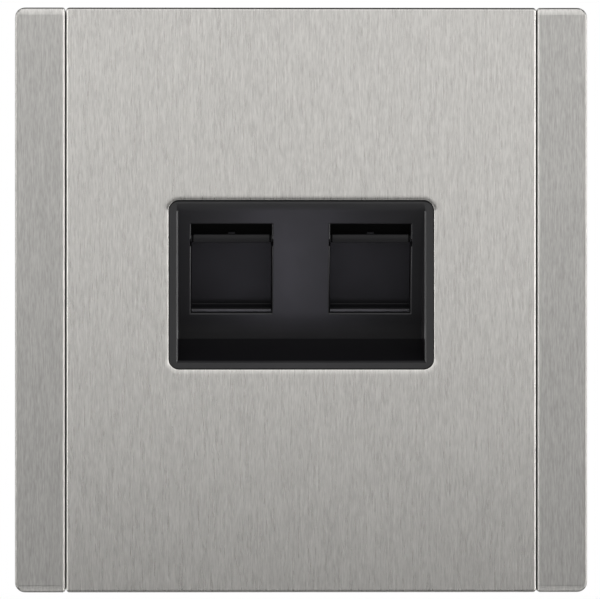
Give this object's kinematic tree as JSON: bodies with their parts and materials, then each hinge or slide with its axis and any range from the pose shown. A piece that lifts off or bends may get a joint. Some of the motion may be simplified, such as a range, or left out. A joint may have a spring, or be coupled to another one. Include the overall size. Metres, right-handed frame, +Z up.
{
  "type": "double data socket",
  "caption": "Square wall socket with a brushed steel cover and side strips, a sunk black outlet and hinged dust flaps over its data jacks.",
  "frame": {"origin": "midway between the two box screws, on the wall plane", "axes": "+X to the right and +Z up as seen from the front, which faces -Y; +Y goes into the wall"},
  "size_m": [0.0842, 0.0339, 0.086],
  "materials": {
    "cover_steel": "vertical brush lines, satin",
    "outlet_plastic": "moulded black, satin",
    "frame_plastic": "moulded black, fine grain",
    "ring_steel": "zinc plated",
    "shield_steel": "tin plated",
    "jack_plastic": "moulded black",
    "contact_gold": "gold plated",
    "board": "lacquered",
    "terminal_plastic": "moulded grey",
    "terminal_bronze": "tinned bronze",
    "cap_plastic": "moulded grey"
  },
  "bodies": {
    "socket": {"base_frame": "frame_plastic", "cover_plate": "cover_steel", "insert_bezel": "outlet_plastic", "left_circuit_board": "board", "left_contact_springs": "contact_gold", "left_jack_housing": "jack_plastic", "left_shield": "shield_steel", "left_side_strip": "cover_steel", "left_terminal_blades": "terminal_bronze", "left_terminal_block": "terminal_plastic", "left_wire_cap": "cap_plastic", "module_holder": "frame_plastic", "plate_carrier": "frame_plastic", "right_circuit_board": "board", "right_contact_springs": "contact_gold", "right_jack_housing": "jack_plastic", "right_shield": "shield_steel", "right_side_strip": "cover_steel", "right_terminal_blades": "terminal_bronze", "right_terminal_block": "terminal_plastic", "right_wire_cap": "cap_plastic", "support_ring": "ring_steel"},
    "left_flap": {"left_flap": "outlet_plastic"},
    "right_flap": {"right_flap": "outlet_plastic"}
  },
  "joints": [
    {"name": "left_flap_hinge", "type": "hinge", "parent": "socket", "child": "left_flap", "pos_m": [-0.01025, -0.00657, 0.00909], "axis": [-1, 0, 0], "range_deg": [0, 120]},
    {"name": "right_flap_hinge", "type": "hinge", "parent": "socket", "child": "right_flap", "pos_m": [0.01025, -0.00657, 0.00909], "axis": [-1, 0, 0], "range_deg": [0, 120]}
  ]
}
